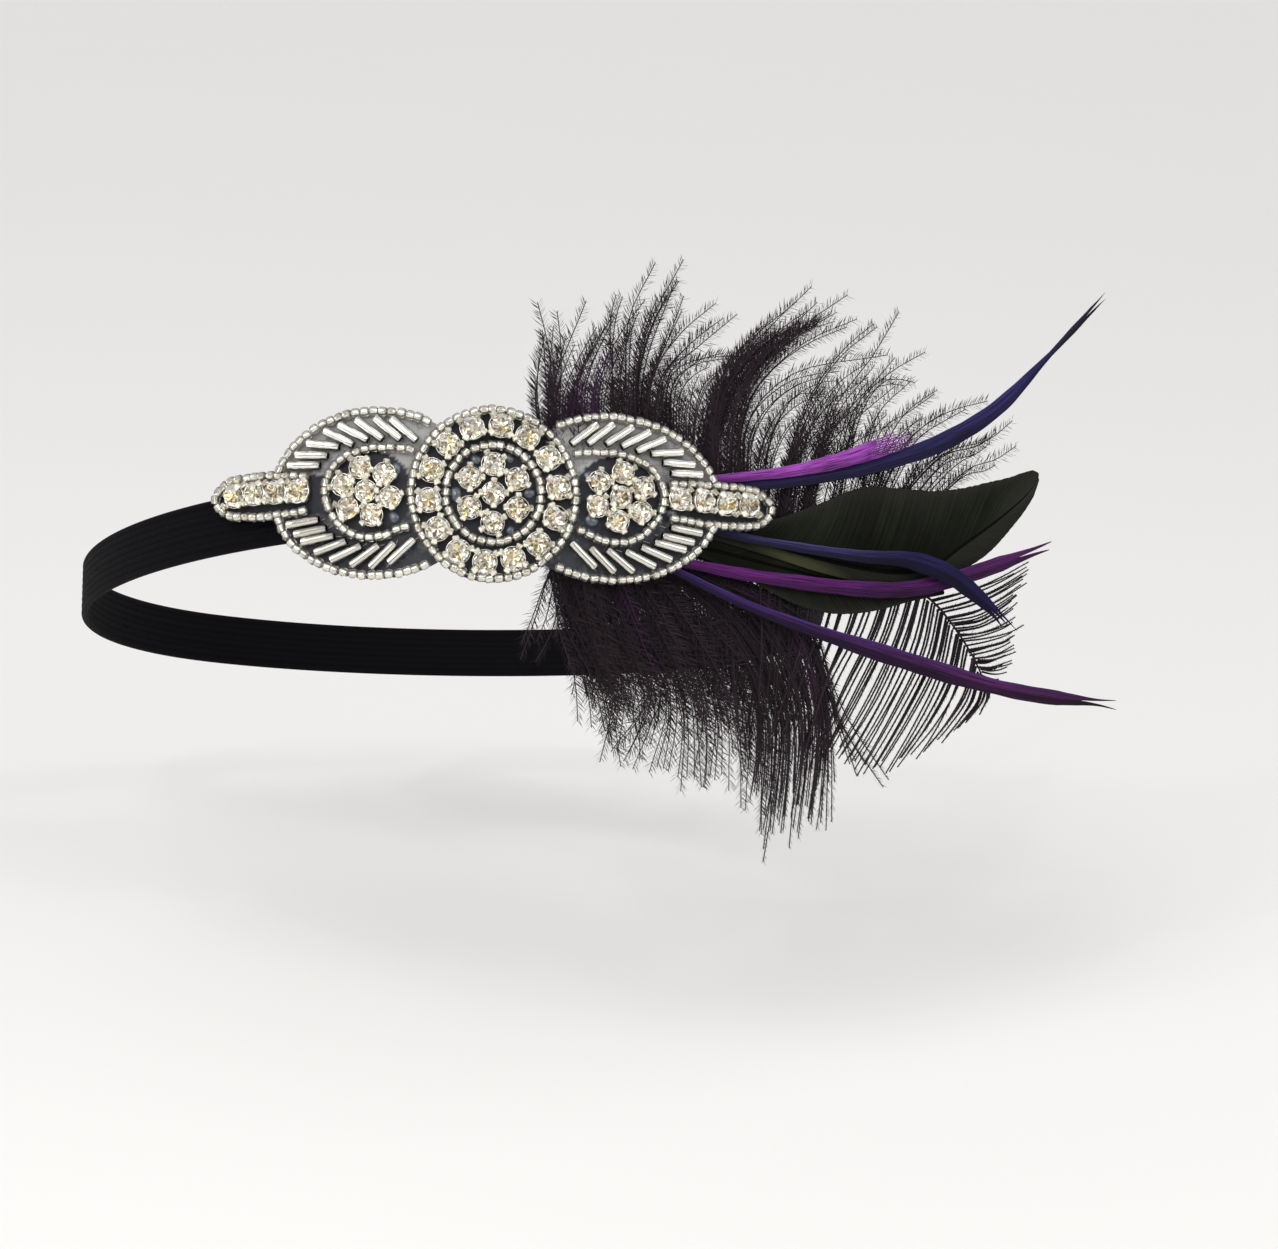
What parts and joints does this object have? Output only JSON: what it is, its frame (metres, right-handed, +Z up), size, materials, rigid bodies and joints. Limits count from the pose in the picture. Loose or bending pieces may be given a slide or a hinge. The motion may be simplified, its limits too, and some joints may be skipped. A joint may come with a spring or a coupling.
{
  "type": "flapper headband",
  "caption": "Ribbed elastic headband loop with a beaded rhinestone applique at the front and a side fan of ostrich, coque and dyed biot feathers.",
  "frame": {"origin": "centre of the elastic loop, where the head sits inside it", "axes": "+Z up as worn, +X to the side that the feathers reach towards, -Y is the front of the head; the loop is worn with its front higher than its back"},
  "size_m": [0.2485, 0.1787, 0.1341],
  "materials": {
    "elastic": "matt ribbed black elastic",
    "backing": "dark net backing stiffened with glue",
    "seed_beads": "clear glass with a silver lining",
    "bugles": "clear glass tubes with a silver lining",
    "stones": "foil-backed clear cut stones in bright claw settings",
    "plume": "soft black ostrich barbs",
    "coque": "glossy black feather with a green cast",
    "purple_biot": "dyed purple feather strip, satin",
    "navy_biot": "dyed navy feather strip, satin"
  },
  "bodies": {
    "root": {"elastic_band": "elastic", "applique_base": "backing", "medallion_rim": "seed_beads", "medallion_inner_rim": "seed_beads", "left_disc_rim": "seed_beads", "right_disc_rim": "seed_beads", "left_leaf_rim": "seed_beads", "right_leaf_rim": "seed_beads", "left_top_bugles": "bugles", "left_bottom_bugles": "bugles", "right_top_bugles": "bugles", "right_bottom_bugles": "bugles", "medallion_stone_01": "stones", "medallion_stone_02": "stones", "medallion_stone_03": "stones", "medallion_stone_04": "stones", "medallion_stone_05": "stones", "medallion_stone_06": "stones", "medallion_stone_07": "stones", "medallion_stone_08": "stones", "medallion_stone_09": "stones", "medallion_stone_10": "stones", "medallion_stone_11": "stones", "medallion_stone_12": "stones", "medallion_stone_13": "stones", "medallion_stone_14": "stones", "heart_stone_centre": "stones", "heart_stone_01": "stones", "heart_stone_02": "stones", "heart_stone_03": "stones", "heart_stone_04": "stones", "heart_stone_05": "stones", "heart_stone_06": "stones", "left_disc_stone_centre": "stones", "left_disc_stone_01": "stones", "left_disc_stone_02": "stones", "left_disc_stone_03": "stones", "left_disc_stone_04": "stones", "left_disc_stone_05": "stones", "left_disc_stone_06": "stones", "right_disc_stone_centre": "stones", "right_disc_stone_01": "stones", "right_disc_stone_02": "stones", "right_disc_stone_03": "stones", "right_disc_stone_04": "stones", "right_disc_stone_05": "stones", "right_disc_stone_06": "stones", "left_tip_stones": "stones", "right_tip_stones": "stones", "plume_upper": "plume", "plume_outer": "plume", "plume_lower": "plume", "coque_feather_upper": "coque", "coque_feather_lower": "coque", "biot_purple_top": "purple_biot", "biot_purple_middle": "purple_biot", "biot_purple_bottom": "purple_biot", "biot_navy_top": "navy_biot", "biot_navy_middle": "navy_biot"}
  },
  "joints": []
}
